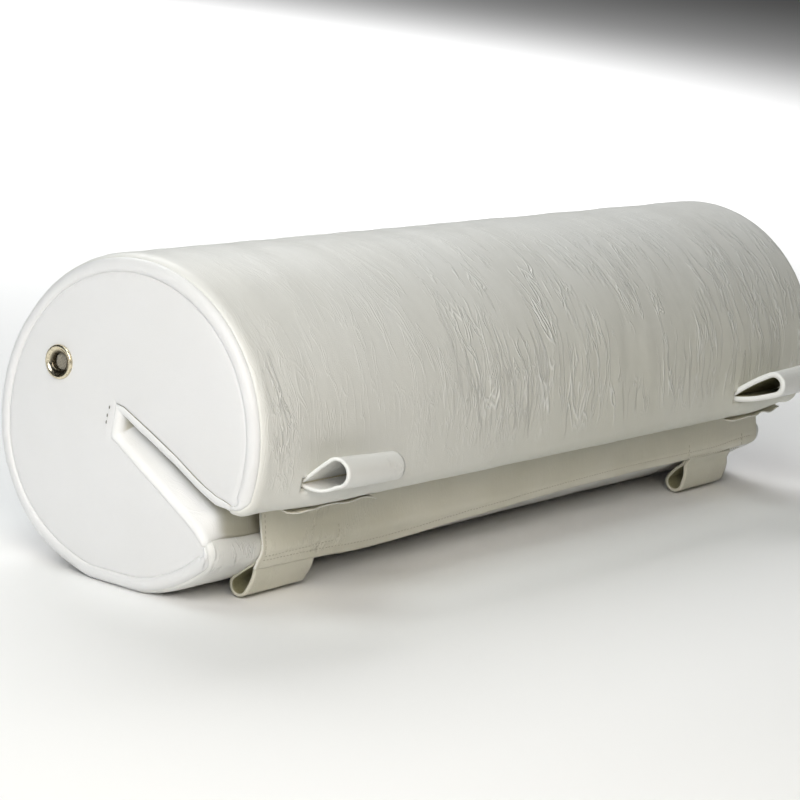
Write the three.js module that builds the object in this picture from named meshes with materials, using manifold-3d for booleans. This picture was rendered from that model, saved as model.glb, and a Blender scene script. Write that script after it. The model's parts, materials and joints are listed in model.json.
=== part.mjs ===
// A slotted foam bolster roller, vinyl covered, that slips over a board, a rail or a
// pool edge. A slot runs its whole length, a flap hangs from the slot's upper jaw over
// its mouth, and two pairs of vinyl loops take a batten or a lashing line.
//
// Millimetres, +Z up. X runs along the roller, +Y is its back, and the slot opens to
// the front and down. The origin lies on the floor, under the middle of the axis.

import * as THREE from 'three';
import { mergeVertices } from 'three/addons/utils/BufferGeometryUtils.js';
import Module from 'manifold-3d';

const wasm = await Module();
wasm.setup();

// ---- Driving dimensions -------------------------------------------------------------

const rollerRadius = 110;
const rollerLength = 730;
const baseSink = 2; // the round is pressed flat by this much where it rests
const sheet = 2; // cover vinyl with its backing
const fit = 0.3; // gap between two pieces that lie on one another

const edgeRadius = 10; // rounding of the outer end edge, which the rim band takes up
const slotEdgeRadius = 5; // rounding where the slot lining turns onto the end face
const lipRadius = 10.5; // rounding of both lips of the slot

const slotBackY = 10; // middle of the slot's blind end, from the roller's axis
const slotBackZ = 1.3;
const slotBackWidth = 20.6;
const slotAngle = 28.3; // the slot falls by this towards the front
const slotSpread = 2.9; // each wall leans out from the slot's middle plane by this
const slotBackLean = 23.3; // the blind end stands this much more upright than square

const flapInsets = { left: 48, right: 27 }; // from the roller's end to the flap's side edge
const flapSetBack = 17; // from the upper lip's rounding back to the flap's hinge line
const flapStandoff = 2.5; // between the lower lip and the back of the flap
const flapTurn = 25; // the flap's tail leans back under the lip by this
const flapTail = 8; // straight part of the flap below the lip
const flapCorner = 20; // length of hem that the flap's lower right corner is rounded over
const anchorWidth = 22; // the flap's sewn edge on the slot's upper wall
const beadRadius = 2.2; // piped fold that the flap or a loop turns about

const loopWidth = 70;
const loopStrip = 2.4; // thickness of a loop's strip
const patchSheet = 1.2;
const patchMargin = 12; // a patch is longer than its loop by this at each side

const upperLoopInset = 51; // from the roller's end to the loop's outer edge
const slitRise = 8.1; // from the upper lip's run-out up the barrel to the slit's middle
const upperLoops = {
  left: { rise: 28, reach: 25.5, radius: 11 },
  right: { rise: 26, reach: 35.5, radius: 10.5 },
};
const slitHeight = 9;
const lipPatchRise = 1.6; // from the upper lip's run-out up the barrel to the lip patch
const lipPatchShare = 2 / 3; // share of the upper lip's round that the lip patch covers

const lowerLoops = {
  left: { inset: 50, gap: 0.7, reach: 19.4, radius: 8 },
  right: { inset: 60, gap: 2.2, reach: 16.5, radius: 8.5 },
};
const flapPatchRise = 14; // how far the lower patch reaches up the flap's back

const eyeletInset = 42.5; // from the barrel in to the eyelet's centre
const eyeletAngle = 26.4; // the eyelet lies this far above the level of the axis, at the back
const eyeletRadius = 11.5;
const eyeletHole = 6;
const eyeletDome = 2;
const eyeletWall = 1;
const washerThickness = 1.2;
const screenThickness = 1;
const screenDepth = 3;

// ---- Facets -------------------------------------------------------------------------

const lipSteps = 7;
const frontSteps = 8; // round the barrel between the lower lip and the base
const barrelSteps = 44; // round the barrel from the base over the top to the upper lip
const edgeSteps = 3;
const cornerSteps = 5;
const loopSteps = 22;
const eyeletSteps = 32;

// ---- Section of the roller ----------------------------------------------------------
// A section point is a Vector2 of (y, z) measured from the roller's axis. Angles run
// from +Y over +Z, so the roller's front is at 180 degrees.

const rad = THREE.MathUtils.degToRad;
const axisHeight = rollerRadius - baseSink;
const halfLength = rollerLength / 2;
const slotDirection = rad(180 + slotAngle);
const slotBack = new THREE.Vector2(slotBackY, slotBackZ);

function polar(angle, length = 1) {
  return new THREE.Vector2(Math.cos(angle) * length, Math.sin(angle) * length);
}

function shifted(point, direction, distance) {
  return point.clone().addScaledVector(direction, distance);
}

// Points of an arc from one angle to another, both ends included.
function arcPoints(centre, radius, from, to, steps) {
  const points = [];
  for (let i = 0; i <= steps; i += 1) {
    points.push(polar(from + ((to - from) * i) / steps, radius).add(centre));
  }
  return points;
}

// One wall of the slot, moved into its jaw by an inset. side is 1 for the upper jaw
// and -1 for the lower one. 'into' points from the slot into the jaw.
function slotWall(side, inset) {
  const alongAngle = slotDirection - side * rad(slotSpread);
  const into = polar(alongAngle - (side * Math.PI) / 2);
  const across = polar(slotDirection - Math.PI / 2);
  const start = shifted(shifted(slotBack, across, (side * slotBackWidth) / 2), into, inset);
  return { start, into, along: polar(alongAngle), alongAngle };
}

// The rounding between a wall of the slot and the barrel. 'barrelAngle' and 'wallAngle'
// are the directions from its centre in which it runs out into the one and the other.
function lip(side) {
  const wall = slotWall(side, 0);
  const track = shifted(wall.start, wall.into, lipRadius);
  const reach = rollerRadius - lipRadius;
  const b = track.dot(wall.along);
  const travel = -b + Math.sqrt(b * b - track.lengthSq() + reach * reach);
  const centre = shifted(track, wall.along, travel);
  const barrelAngle = Math.atan2(centre.y, centre.x) + 2 * Math.PI;
  return { ...wall, centre, barrelAngle, wallAngle: wall.alongAngle + (side * Math.PI) / 2 };
}

const upperLip = lip(1);
const lowerLip = lip(-1);

// A lip's outline from the barrel to the slot's wall, under the skin by one inset at
// the barrel and by another at the wall.
function lipPath({ centre, barrelAngle, wallAngle }, outerInset, slotInset) {
  const points = [];
  for (let i = 0; i <= lipSteps; i += 1) {
    const share = i / lipSteps;
    const inset = outerInset + (slotInset - outerInset) * share;
    const radius = Math.max(lipRadius - inset, lipRadius / 12);
    points.push(polar(barrelAngle + (wallAngle - barrelAngle) * share, radius).add(centre));
  }
  return points;
}

// Round the outside, from the lower lip under the base and over the top to the upper
// lip. It starts and ends where the lips run out into the walls of the slot.
function outerPath(outerInset, slotInset) {
  const radius = rollerRadius - outerInset;
  const axis = new THREE.Vector2();
  const flat = Math.acos((radius - baseSink) / radius);
  const down = rad(270);
  const end = upperLip.barrelAngle + 2 * Math.PI;
  return [
    ...lipPath(lowerLip, outerInset, slotInset).reverse(),
    ...arcPoints(axis, radius, lowerLip.barrelAngle, down - flat, frontSteps).slice(1),
    ...arcPoints(axis, radius, down + flat, end, barrelSteps),
    ...lipPath(upperLip, outerInset, slotInset).slice(1),
  ];
}

// The corner between a wall of the slot and its blind end.
function slotCorner(side, inset) {
  const wall = slotWall(side, inset);
  const mouthward = polar(slotDirection - rad(slotBackLean));
  const offset = wall.start.clone().sub(slotBack).dot(mouthward);
  return shifted(wall.start, wall.along, (-inset - offset) / wall.along.dot(mouthward));
}

// Round the inside of the slot, from the upper lip to the lower one. 'shortening' pulls
// both ends back from the lips.
function slotPath(outerInset, slotInset, shortening = 0) {
  const ends = [upperLip, lowerLip].map((edge) => {
    const end = lipPath(edge, outerInset, slotInset).at(-1);
    return shifted(end, edge.along, -shortening);
  });
  return [ends[0], slotCorner(1, slotInset), slotCorner(-1, slotInset), ends[1]];
}

// ---- Solids -------------------------------------------------------------------------

// A closed solid through a row of rings with equal numbers of points. 'contour' is the
// ring laid flat, which the two end caps are cut from.
function solidFromRings(rings, contour) {
  const count = contour.length;
  const index = [];
  for (let i = 0; i + 1 < rings.length; i += 1) {
    for (let j = 0; j < count; j += 1) {
      const k = (j + 1) % count;
      const a = i * count + j;
      const b = i * count + k;
      index.push(a, b, b + count, a, b + count, a + count);
    }
  }
  const last = (rings.length - 1) * count;
  const clockwise = THREE.ShapeUtils.isClockWise(contour);
  for (const face of THREE.ShapeUtils.triangulateShape(contour, [])) {
    const same = THREE.ShapeUtils.isClockWise(face.map((n) => contour[n])) === clockwise;
    const [a, b, c] = same ? face : face.reverse();
    index.push(c, b, a, a + last, b + last, c + last);
  }
  const geometry = new THREE.BufferGeometry().setFromPoints(rings.flat());
  geometry.setIndex(index);
  return facingOut(geometry);
}

// Turns a closed solid's faces over where they point into it.
function facingOut(geometry) {
  const position = geometry.getAttribute('position');
  const index = geometry.getIndex();
  const corner = [0, 1, 2].map(() => new THREE.Vector3());
  let volume = 0;
  for (let i = 0; i < index.count; i += 3) {
    corner.forEach((point, n) => point.fromBufferAttribute(position, index.getX(i + n)));
    volume += corner[0].dot(corner[1].clone().cross(corner[2]));
  }
  if (volume < 0) {
    for (let i = 0; i < index.count; i += 3) {
      const first = index.getX(i);
      index.setX(i, index.getX(i + 2));
      index.setX(i + 2, first);
    }
  }
  return geometry;
}

// A skin swept round the section. Each point of 'profile' has its place x along the
// roller and its insets from the barrel (outer) and from the slot's walls (slot).
function sweptSkin(profile, path) {
  const tracks = profile.map(({ x, outer, slot }) => {
    return path(outer, slot).map((point) => new THREE.Vector3(x, point.x, point.y));
  });
  const rings = tracks[0].map((_, step) => tracks.map((track) => track[step]));
  const contour = profile.map(({ x, outer, slot }) => new THREE.Vector2(x, outer + slot));
  return solidFromRings(rings, contour);
}

// How far a surface 'depth' under the skin lies in from the barrel's line, or the
// slot's, at x. 'radius' rounds the end edge.
function edgeInset(x, radius, depth) {
  const over = Math.abs(x) - (halfLength - radius);
  if (over <= 0) {
    return depth;
  }
  return radius - Math.sqrt(Math.max((radius - depth) ** 2 - over ** 2, 0));
}

function skinPoint(x, depth) {
  return {
    x,
    outer: edgeInset(x, edgeRadius, depth),
    slot: edgeInset(x, slotEdgeRadius, depth),
  };
}

// Places along the roller of its rounded end edge, from the round's start to the end.
// They serve the edge of the barrel and the tighter one of the slot.
function edgePlaces(depth) {
  const places = [halfLength - depth];
  for (const radius of [edgeRadius, slotEdgeRadius]) {
    for (let i = 0; i < edgeSteps; i += 1) {
      const turn = (i * Math.PI) / 2 / edgeSteps;
      places.push(halfLength - radius + (radius - depth) * Math.sin(turn));
    }
  }
  return places.sort((a, b) => a - b);
}

// A flat outline in the section plane, drawn out along X between two places.
function prism(outline, fromX, toX, holes = []) {
  const shape = new THREE.Shape(outline);
  shape.holes = holes.map((hole) => new THREE.Path(hole));
  const geometry = new THREE.ExtrudeGeometry(shape, { depth: toX - fromX, bevelEnabled: false });
  const turned = new THREE.Matrix4().makeBasis(
    new THREE.Vector3(0, 1, 0),
    new THREE.Vector3(0, 0, 1),
    new THREE.Vector3(1, 0, 0),
  );
  geometry.applyMatrix4(turned.setPosition(fromX, 0, 0));
  return geometry;
}

// A turned ring or disc whose axis runs along X through a section point. Its profile
// holds (radius, distance outwards), and 'end' is 1 for the right end, -1 for the left.
function turned(profile, centre, end, fromX) {
  const geometry = new THREE.LatheGeometry(profile, eyeletSteps);
  geometry.rotateZ((-end * Math.PI) / 2);
  geometry.translate(end * fromX, centre.x, centre.y);
  return facingOut(geometry);
}

function toManifold(geometry) {
  const bare = geometry.clone();
  bare.deleteAttribute('normal');
  bare.deleteAttribute('uv');
  const merged = mergeVertices(bare);
  return new wasm.Manifold(new wasm.Mesh({
    numProp: 3,
    vertProperties: new Float32Array(merged.getAttribute('position').array),
    triVerts: new Uint32Array(merged.getIndex().array),
  }));
}

function fromManifold(solid) {
  const { vertProperties, triVerts } = solid.getMesh();
  const geometry = new THREE.BufferGeometry();
  geometry.setAttribute('position', new THREE.BufferAttribute(vertProperties, 3));
  geometry.setIndex(new THREE.BufferAttribute(triVerts, 1));
  return geometry;
}

function cut(geometry, ...tools) {
  const whole = toManifold(geometry);
  return fromManifold(tools.reduce((solid, tool) => solid.subtract(toManifold(tool)), whole));
}

function join(geometry, ...others) {
  const whole = toManifold(geometry);
  return fromManifold(others.reduce((solid, other) => solid.add(toManifold(other)), whole));
}

// ---- Finishes -----------------------------------------------------------------------

const vinylWhite = { color: 0xeeede8, roughness: 0.42, metalness: 0 };
const vinylShade = { color: 0xdcd9cd, roughness: 0.5, metalness: 0 };
const foamCream = { color: 0xe9e3cf, roughness: 0.95, metalness: 0 };
const nickel = { color: 0xc9bfa8, roughness: 0.25, metalness: 1 };
const meshGrey = { color: 0x8a8474, roughness: 0.8, metalness: 0.2 };

const roller = new THREE.Group();
roller.position.z = axisHeight;

function addPiece(name, geometry, finish) {
  const mesh = new THREE.Mesh(geometry, new THREE.MeshStandardMaterial(finish));
  mesh.name = name;
  roller.add(mesh);
}

// ---- Foam core ----------------------------------------------------------------------

const foamDepth = sheet + fit;
const eyeletCentre = polar(rad(eyeletAngle), rollerRadius - eyeletInset);
const washerRadius = eyeletRadius - eyeletWall / 2;
const eyeletTube = eyeletHole + eyeletWall;
const washerPlace = halfLength - sheet - fit;
const tubeEnd = washerPlace - fit - washerThickness - eyeletWall;

function foamCore() {
  const rightEnd = edgePlaces(foamDepth);
  const places = [...rightEnd.map((x) => -x).reverse(), ...rightEnd];
  const outlines = places.map((x) => {
    const { outer, slot } = skinPoint(x, foamDepth);
    return [...outerPath(outer, slot), ...slotPath(outer, slot).slice(1, -1)];
  });
  const rings = outlines.map((outline, i) => {
    return outline.map((point) => new THREE.Vector3(places[i], point.x, point.y));
  });
  const body = solidFromRings(rings, outlines[0]);
  const pocketDepth = halfLength - tubeEnd + fit;
  const pockets = [1, -1].map((end) => {
    const radius = washerRadius + fit;
    const disc = [
      new THREE.Vector2(0, 0),
      new THREE.Vector2(radius, 0),
      new THREE.Vector2(radius, pocketDepth),
      new THREE.Vector2(0, pocketDepth),
    ];
    return turned(disc, eyeletCentre, end, halfLength - pocketDepth);
  });
  return cut(body, ...pockets);
}

addPiece('foam_core', foamCore(), foamCream);

// ---- Barrel cover, rim bands, slot lining and end panels ----------------------------

const upperRootAngle = upperLip.barrelAngle - slitRise / rollerRadius;
const upperRoot = polar(upperRootAngle, rollerRadius);

function loopSpan(side, inset, width) {
  const outer = halfLength - inset;
  return side === 'left' ? [-outer, width - outer] : [outer - width, outer];
}

// A block in the section plane that stands square on the barrel at the upper slits.
function slitBlock(side, clearance) {
  const out = polar(upperRootAngle);
  const across = polar(upperRootAngle + Math.PI / 2);
  const half = slitHeight / 2 + clearance;
  const bottom = shifted(upperRoot, out, -foamDepth);
  const top = shifted(upperRoot, out, clearance);
  const outline = [
    shifted(bottom, across, -half),
    shifted(bottom, across, half),
    shifted(top, across, half),
    shifted(top, across, -half),
  ];
  const [from, to] = loopSpan(side, upperLoopInset, loopWidth);
  return prism(outline, from - clearance, to + clearance);
}

function barrelCover() {
  const end = halfLength - edgeRadius - fit;
  const profile = [
    skinPoint(-end, 0),
    skinPoint(end, 0),
    skinPoint(end, sheet),
    skinPoint(-end, sheet),
  ];
  const skin = sweptSkin(profile, outerPath);
  return cut(skin, slitBlock('left', fit), slitBlock('right', fit));
}

// The rounded band of cover that turns over the end edge, sewn to the end panel.
function rimBand(end) {
  const section = (depth) => edgePlaces(depth).map((x) => skinPoint(end * x, depth));
  return sweptSkin([...section(0), ...section(sheet).reverse()], outerPath);
}

function slotLining() {
  const section = (depth) => {
    const right = edgePlaces(depth);
    const left = right.map((x) => -x).reverse();
    return [...left, ...right].map((x) => skinPoint(x, depth));
  };
  const profile = [...section(0), ...section(sheet).reverse()];
  return sweptSkin(profile, (outer, slot) => slotPath(outer, slot, fit));
}

function endPanel(end) {
  const outer = edgeRadius + fit;
  const slot = slotEdgeRadius + fit;
  const outline = [...outerPath(outer, slot), ...slotPath(outer, slot).slice(1, -1)];
  const hole = arcPoints(eyeletCentre, eyeletTube + fit, 2 * Math.PI, 0, eyeletSteps).slice(1);
  const near = end > 0 ? halfLength - sheet : -halfLength;
  return prism(outline, near, near + sheet, [hole]);
}

addPiece('barrel_cover', barrelCover(), vinylWhite);
addPiece('slot_lining', slotLining(), vinylWhite);
for (const [side, end] of [['left', -1], ['right', 1]]) {
  addPiece(`rim_band_${side}`, rimBand(end), vinylWhite);
  addPiece(`end_panel_${side}`, endPanel(end), vinylWhite);
}

// ---- Vent eyelets -------------------------------------------------------------------

function ventEyelet(end) {
  const middle = (eyeletHole + eyeletRadius) / 2;
  const halfSpan = (eyeletRadius - eyeletHole) / 2;
  const dome = arcPoints(new THREE.Vector2(), 1, Math.PI, 0, 8).map((point) => {
    return new THREE.Vector2(middle + halfSpan * point.x, fit + eyeletDome * point.y);
  });
  const inward = halfLength - tubeEnd;
  const profile = [
    new THREE.Vector2(eyeletHole, -inward),
    ...dome,
    new THREE.Vector2(eyeletTube, fit),
    new THREE.Vector2(eyeletTube, -inward),
    new THREE.Vector2(eyeletHole, -inward),
  ];
  return turned(profile, eyeletCentre, end, halfLength);
}

function flatRing(inner, outer, thickness) {
  const corners = [
    new THREE.Vector2(outer, -thickness),
    new THREE.Vector2(outer, 0),
    new THREE.Vector2(inner, 0),
    new THREE.Vector2(inner, -thickness),
  ];
  return inner > 0 ? [...corners, corners[0]] : [corners[3], ...corners.slice(0, 3)];
}

for (const [side, end] of [['left', -1], ['right', 1]]) {
  const washer = flatRing(eyeletTube + fit, washerRadius, washerThickness);
  const screen = flatRing(0, eyeletHole - fit, screenThickness);
  const screenPlace = halfLength - screenDepth;
  addPiece(`vent_eyelet_${side}`, ventEyelet(end), nickel);
  addPiece(`vent_washer_${side}`, turned(washer, eyeletCentre, end, washerPlace), nickel);
  addPiece(`vent_screen_${side}`, turned(screen, eyeletCentre, end, screenPlace), meshGrey);
}

// ---- Loops --------------------------------------------------------------------------

// A strip folded into a drop: two straight runs from the fold line to a round end.
// 'neck' cuts its root back to an arc about the fold line.
function dropLoop(root, aim, { reach, radius }, neck) {
  const half = Math.asin(radius / reach);
  const centre = shifted(root, polar(aim), reach);
  const quarter = Math.PI / 2;
  const from = aim - half - quarter;
  const to = aim + half + quarter;
  const outline = [
    ...arcPoints(centre, radius, from, to, loopSteps),
    ...arcPoints(root, neck, aim + half, aim - half, 3),
  ];
  const innerRoot = shifted(root, polar(aim), loopStrip / Math.sin(half));
  const hole = [innerRoot, ...arcPoints(centre, radius - loopStrip, from, to, loopSteps)];
  return { outline, hole: hole.reverse() };
}

const neckRadius = beadRadius + fit;
const upperFold = shifted(upperRoot, polar(upperRootAngle), beadRadius / 3);

// The loop's sewn end: it fills the slit and carries the piped fold outside it.
function loopTail(side) {
  const [from, to] = loopSpan(side, upperLoopInset, loopWidth);
  const bead = arcPoints(upperFold, beadRadius, 0, 2 * Math.PI, 12).slice(1);
  return join(slitBlock(side, 0), prism(bead, from, to));
}

// A thin patch under the lip, from below the slit round the upper lip.
function lipPatch(side) {
  const { centre, barrelAngle, wallAngle } = upperLip;
  const start = barrelAngle - lipPatchRise / rollerRadius;
  const end = barrelAngle + (wallAngle - barrelAngle) * lipPatchShare;
  const run = (offset) => [
    polar(start, rollerRadius + offset),
    ...arcPoints(centre, lipRadius + offset, barrelAngle, end, lipSteps),
  ];
  const outline = [...run(fit + patchSheet), ...run(fit).reverse()];
  const [from, to] = loopSpan(side, upperLoopInset - patchMargin, loopWidth + 2 * patchMargin);
  return prism(outline, from, to);
}

for (const side of ['left', 'right']) {
  const size = upperLoops[side];
  const { outline, hole } = dropLoop(upperFold, rad(180 - size.rise), size, neckRadius);
  const [from, to] = loopSpan(side, upperLoopInset, loopWidth);
  addPiece(`loop_tail_${side}`, loopTail(side), vinylShade);
  addPiece(`upper_loop_${side}`, prism(outline, from, to, [hole]), vinylWhite);
  addPiece(`lip_patch_${side}`, lipPatch(side), vinylShade);
}

// ---- Closing flap and the lower loops -----------------------------------------------

const anchorEnd = slotPath(0, 0, flapSetBack)[0];
const flapHinge = shifted(anchorEnd, upperLip.into, -fit - beadRadius);
const flapLeft = flapInsets.left - halfLength;
const flapRight = halfLength - flapInsets.right;
const flapRound = lipRadius + flapStandoff + sheet / 2;
const flapEndAngle = rad(180 + flapTurn);
const tailDirection = polar(flapEndAngle + Math.PI / 2);

// A flat strip's outline round its middle line.
function ribbon(line, thickness) {
  const normals = line.map((point, i) => {
    const before = line[Math.max(i - 1, 0)];
    const after = line[Math.min(i + 1, line.length - 1)];
    const along = after.clone().sub(before).normalize();
    return new THREE.Vector2(-along.y, along.x);
  });
  const edge = (offset) => line.map((point, i) => shifted(point, normals[i], offset));
  return [...edge(thickness / 2), ...edge(-thickness / 2).reverse()];
}

// From the hinge line, the flap hangs straight to where it meets the lower lip's round.
// 'tail' is how far it goes on below that.
function flapLine(tail) {
  const toLip = lowerLip.centre.clone().sub(flapHinge);
  const reach = toLip.length();
  const aim = Math.atan2(toLip.y, toLip.x) + 2 * Math.PI - Math.asin(flapRound / reach);
  const start = shifted(flapHinge, polar(aim), neckRadius);
  const bend = arcPoints(lowerLip.centre, flapRound, aim - Math.PI / 2, flapEndAngle, 8);
  return [start, ...bend, shifted(bend.at(-1), tailDirection, tail)];
}

// The flap is one strip along the roller. Towards its right edge the tail gets shorter,
// which rounds its lower corner.
function closingFlap() {
  const stations = [{ x: flapLeft, tail: flapTail }];
  for (let i = 0; i <= cornerSteps; i += 1) {
    const share = Math.sin((i * Math.PI) / 2 / cornerSteps);
    const x = flapRight - flapCorner * (1 - share);
    const tail = flapTail * Math.sqrt(1 - share ** 2);
    stations.push({ x, tail: Math.max(tail, sheet / 4) });
  }
  const outlines = stations.map(({ tail }) => ribbon(flapLine(tail), sheet));
  const rings = outlines.map((outline, i) => {
    return outline.map((point) => new THREE.Vector3(stations[i].x, point.x, point.y));
  });
  return solidFromRings(rings, outlines[0]);
}

// The flap's sewn edge lies on the slot's upper wall and ends in the piped fold.
function flapAnchor() {
  const near = shifted(anchorEnd, upperLip.into, -fit);
  const far = shifted(near, upperLip.along, -anchorWidth);
  const outline = [
    near,
    far,
    shifted(far, upperLip.into, -sheet),
    shifted(near, upperLip.into, -sheet),
  ];
  const bead = arcPoints(flapHinge, beadRadius, 0, 2 * Math.PI, 12).slice(1);
  return join(prism(outline, flapLeft, flapRight), prism(bead, flapLeft, flapRight));
}

const patchRound = flapRound - sheet / 2 - fit - patchSheet / 2;
const patchEnd = shifted(shifted(lowerLip.centre, polar(flapEndAngle), patchRound),
  tailDirection, flapTail);
const lowerBead = patchSheet;
const lowerFold = shifted(patchEnd, polar(flapEndAngle), -patchSheet / 2);

// The lower loops are sewn to a patch on the flap's back, which ends in a piped fold.
function flapPatch(from, to) {
  const climb = flapPatchRise / patchRound;
  const bend = arcPoints(lowerLip.centre, patchRound, flapEndAngle - climb, flapEndAngle, 4);
  const strip = ribbon([...bend, patchEnd], patchSheet);
  const bead = arcPoints(lowerFold, lowerBead, 0, 2 * Math.PI, 12).slice(1);
  return join(prism(strip, from, to), prism(bead, from, to));
}

// Which way a lower loop hangs, with its round end by a gap clear of the barrel.
function lowerAim({ gap, reach, radius }) {
  const fold = lowerFold.length();
  const end = rollerRadius + radius + gap;
  const turn = Math.acos((fold ** 2 + reach ** 2 - end ** 2) / (2 * fold * reach));
  return Math.atan2(-lowerFold.y, -lowerFold.x) - turn;
}

addPiece('flap_anchor', flapAnchor(), vinylShade);
addPiece('closing_flap', closingFlap(), vinylShade);
for (const side of ['left', 'right']) {
  const size = lowerLoops[side];
  const { outline, hole } = dropLoop(lowerFold, lowerAim(size), size, lowerBead + fit);
  const [from, to] = loopSpan(side, size.inset, loopWidth);
  addPiece(`flap_patch_${side}`, flapPatch(from, to), vinylShade);
  addPiece(`lower_loop_${side}`, prism(outline, from, to, [hole]), vinylShade);
}

export default roller;
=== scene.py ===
# %% [markdown]
# # A slotted, vinyl-covered foam roller
# This roller is a foam bolster sewn into a white vinyl cover. A slot along its whole length slips over
# a board, a flap hangs over the slot's mouth, and two pairs of vinyl loops take a batten or a cord.
# The hard frame with its joints is loaded first. Everything soft is then modelled over it, panel by
# panel, the way the cover is cut and sewn.

import json
import math
from contextlib import contextmanager

import bpy
import numpy as np
from mathutils import Matrix, Vector, noise


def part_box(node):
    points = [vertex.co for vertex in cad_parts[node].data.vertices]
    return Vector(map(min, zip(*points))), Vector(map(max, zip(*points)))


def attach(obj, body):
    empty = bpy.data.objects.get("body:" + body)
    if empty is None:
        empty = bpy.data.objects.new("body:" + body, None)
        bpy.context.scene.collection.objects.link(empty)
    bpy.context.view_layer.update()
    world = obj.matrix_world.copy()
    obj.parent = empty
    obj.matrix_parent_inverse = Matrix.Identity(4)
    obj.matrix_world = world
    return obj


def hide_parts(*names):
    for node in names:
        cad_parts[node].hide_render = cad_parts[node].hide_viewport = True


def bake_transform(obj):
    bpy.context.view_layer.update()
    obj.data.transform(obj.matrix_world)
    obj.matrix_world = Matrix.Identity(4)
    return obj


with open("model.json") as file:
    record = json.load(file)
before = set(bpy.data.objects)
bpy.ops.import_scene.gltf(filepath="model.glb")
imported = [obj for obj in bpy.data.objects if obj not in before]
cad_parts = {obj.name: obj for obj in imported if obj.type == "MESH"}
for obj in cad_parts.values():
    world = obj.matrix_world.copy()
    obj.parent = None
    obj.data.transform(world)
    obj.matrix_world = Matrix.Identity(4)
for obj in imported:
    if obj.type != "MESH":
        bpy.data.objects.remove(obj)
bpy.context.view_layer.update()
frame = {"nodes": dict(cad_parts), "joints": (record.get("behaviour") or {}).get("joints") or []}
scene = bpy.context.scene
joints = {joint["name"]: joint for joint in frame["joints"]}
MM = 0.001
SIDES = {"left": -1, "right": 1}

# %% [markdown]
# ## The camera
# The camera stands to the left of the roller and a little above it, with a long lens, so the roller
# tapers only slightly. It is tilted a few degrees about its own view line.

# %% Camera
camera_place = Vector((-1.77716, -1.19485, 0.52106))
camera_target = Vector((-0.25979, -0.13871, 0.14276))
camera_roll = math.radians(6.2566)
back = (camera_place - camera_target).normalized()
level = Vector((0, 0, 1)).cross(back).normalized()
across = level * math.cos(camera_roll) + back.cross(level) * math.sin(camera_roll)
camera_data = bpy.data.cameras.new("camera")
camera_data.lens = 131.63
camera_data.sensor_width = 36
camera = bpy.data.objects.new("camera", camera_data)
scene.collection.objects.link(camera)
turn = Matrix((across, back.cross(across), back)).transposed()
camera.matrix_world = Matrix.Translation(camera_place) @ turn.to_4x4()
scene.camera = camera
print("camera at", tuple(round(x, 3) for x in camera.location))

# %% [markdown]
# ## The section of the roller
# The roller has one section along its whole length: a round barrel, pressed a little flat where it
# rests, with a slot that opens to the front and down. Two lips round the slot's mouth. A track holds a
# run of this section as points, each with the way out of the foam, the way in that an inset takes it,
# and the radius that rounds the end edge there.

# %% Smooth steps and humps
def smooth_step(share):
    share = np.clip(share, 0, 1)
    return share * share * (3 - 2 * share)


def rises(value, start, length):
    """From 0 at start to 1 when length is past. Start and length are in millimetres."""
    return smooth_step((value - start * MM) / (length * MM))


def falls(value, stop, length):
    """From 1 to 0 over the last stretch, length millimetres long, before stop."""
    return smooth_step((stop * MM - value) / (length * MM))


def hump(values, middle, spread):
    away = (values - middle) / spread
    return np.exp(-away * away)


# %% Section values, in metres
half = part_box("end_panel_right")[1].x
sink = 2 * MM
R = round((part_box("barrel_cover")[1].z + sink) / 2, 4)
axis_z = R - sink
lip_radius = 10.5 * MM
edge_radius = 10 * MM
slot_edge_radius = 5 * MM
slot_back = np.array([10, 1.3]) * MM
slot_back_width = 20.6 * MM
slot_fall = math.radians(28.3)
slot_spread = math.radians(2.9)
slot_back_lean = math.radians(23.3)
slot_way = math.pi + slot_fall
print("barrel radius", R, "half length", round(half, 4))


def polar(angle, length=1.0):
    return np.stack([np.cos(angle), np.sin(angle)], -1) * length


def fold_point(joint_name):
    place = joints[joint_name]["pos_m"]
    return np.array([place[1], place[2] - axis_z])


def slot_wall(side):
    """A wall of the slot, 1 for the upper one: its start, the way into the foam, and its angle."""
    angle = slot_way - side * slot_spread
    start = slot_back + polar(slot_way - math.pi / 2) * side * slot_back_width / 2
    return start, polar(angle - side * math.pi / 2), angle


def lip(side):
    """A lip's centre, and the angles at which it leaves the barrel and the wall."""
    start, into, wall_angle = slot_wall(side)
    start = start + into * lip_radius
    along = polar(wall_angle)
    reach = R - lip_radius
    b = start @ along
    centre = start + along * (-b + math.sqrt(b * b - start @ start + reach * reach))
    barrel_angle = math.atan2(centre[1], centre[0]) + 2 * math.pi
    return centre, barrel_angle, wall_angle + side * math.pi / 2


def slot_corner(side, inset=0.0):
    start, into, wall_angle = slot_wall(side)
    start = start + into * inset
    mouthward = polar(slot_way - slot_back_lean)
    along = polar(wall_angle)
    return start + along * (-inset - (start - slot_back) @ mouthward) / (along @ mouthward)


upper_lip = lip(1)
lower_lip = lip(-1)


# %% Tracks round the section
def interpolated(s, run, values):
    return np.stack([np.interp(s, run, column) for column in values.T], -1)


def run_along(points):
    return np.concatenate([[0], np.cumsum(np.linalg.norm(np.diff(points, axis=0), axis=1))])


def make_track(points, inward, outward, edges):
    run = run_along(points)
    return {"run": run, "points": points, "inward": inward, "outward": outward, "edges": edges}


def at(track, v, name):
    values = track[name]
    return np.interp(v, track["run"], values) if values.ndim == 1 else interpolated(v, track["run"], values)


def off_track(track, v, way, distance):
    return at(track, v, "points") + at(track, v, way) * distance[:, None]


def in_space(x, flat):
    return np.stack([x, flat[:, 0], flat[:, 1] + axis_z], -1)


def lip_turn(lip_values, share):
    centre, barrel_angle, wall_angle = lip_values
    angle = barrel_angle + (wall_angle - barrel_angle) * share
    return centre + polar(angle, lip_radius), polar(angle), share


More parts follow.
